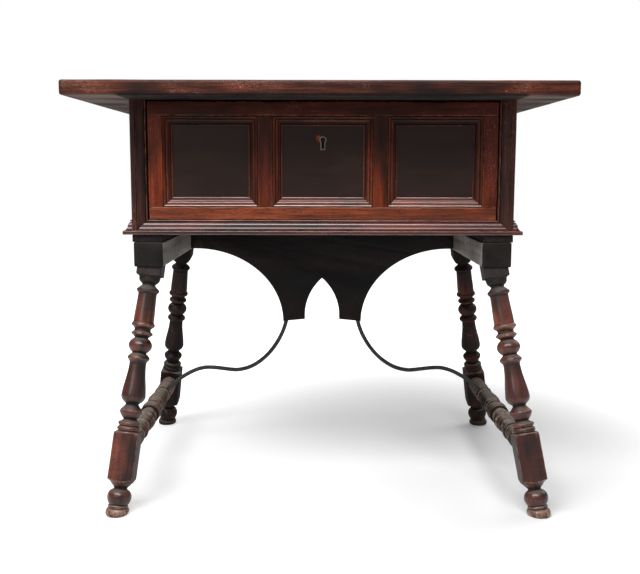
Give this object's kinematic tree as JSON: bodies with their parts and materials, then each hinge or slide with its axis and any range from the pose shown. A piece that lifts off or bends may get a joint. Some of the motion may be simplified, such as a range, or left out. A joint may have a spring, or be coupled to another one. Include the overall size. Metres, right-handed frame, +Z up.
{
  "type": "platform table",
  "caption": "Plank-topped period table with a deep locking drawer of sunk moulded panels, on splayed turned legs tied by side stretchers, a shaped cross board and curved iron stays.",
  "frame": {"origin": "on the floor, under the middle of the top", "axes": "+X to the right along the top, -Y towards the drawer front, +Z up"},
  "size_m": [0.916, 0.6506, 0.8],
  "materials": {
    "top_wood": "waxed, worn at the edges",
    "case_wood": "dark stained, satin",
    "frame_wood": "reddish stain rubbed through to orange",
    "panel_wood": "near black, satin",
    "moulding_wood": "dark stain, burnished on the arrises",
    "stand_wood": "near black stain",
    "leg_wood": "red-brown stain, dark in the grooves",
    "inner_wood": "bare, unfinished",
    "iron": "hand forged, dark and dull"
  },
  "bodies": {
    "table": {"architrave_left": "case_wood", "architrave_right": "case_wood", "base_moulding_front": "moulding_wood", "base_moulding_left": "moulding_wood", "base_moulding_right": "moulding_wood", "bearer_cap_left": "stand_wood", "bearer_cap_right": "stand_wood", "bearer_left": "stand_wood", "bearer_right": "stand_wood", "case_back": "case_wood", "case_bottom_board": "stand_wood", "case_front_rail": "case_wood", "case_side_left": "case_wood", "case_side_right": "case_wood", "cross_board": "stand_wood", "drawer_runner_left": "inner_wood", "drawer_runner_right": "inner_wood", "drawer_stop_left": "inner_wood", "drawer_stop_right": "inner_wood", "iron_stay_left": "iron", "iron_stay_right": "iron", "leg_front_left": "leg_wood", "leg_front_right": "leg_wood", "leg_rear_left": "leg_wood", "leg_rear_right": "leg_wood", "stretcher_left": "leg_wood", "stretcher_right": "leg_wood", "strike_plate": "iron", "top_peg_front_left": "top_wood", "top_peg_front_right": "top_wood", "top_peg_middle_left": "top_wood", "top_peg_middle_right": "top_wood", "top_peg_rear_left": "top_wood", "top_peg_rear_right": "top_wood", "top_plank_front": "top_wood", "top_plank_middle": "top_wood", "top_plank_rear": "top_wood"},
    "drawer": {"drawer_back": "inner_wood", "drawer_bottom": "inner_wood", "drawer_muntin_left": "frame_wood", "drawer_muntin_right": "frame_wood", "drawer_panel_left": "panel_wood", "drawer_panel_middle": "panel_wood", "drawer_panel_right": "panel_wood", "drawer_rail_bottom": "frame_wood", "drawer_rail_top": "frame_wood", "drawer_side_left": "inner_wood", "drawer_side_right": "inner_wood", "drawer_stile_left": "frame_wood", "drawer_stile_right": "frame_wood", "keyhole_liner": "iron", "lock_case": "iron", "lock_key_pin": "iron", "lock_spring": "iron", "panel_moulding_left": "moulding_wood", "panel_moulding_middle": "moulding_wood", "panel_moulding_right": "moulding_wood"},
    "lock_bolt": {"lock_bolt": "iron"}
  },
  "joints": [
    {"name": "drawer_slide", "type": "slide", "parent": "table", "child": "drawer", "axis": [0, -1, 0], "range_m": [0, 0.3]},
    {"name": "lock_bolt_slide", "type": "slide", "parent": "drawer", "child": "lock_bolt", "axis": [0, 0, 1], "range_m": [0, 0.01]}
  ]
}
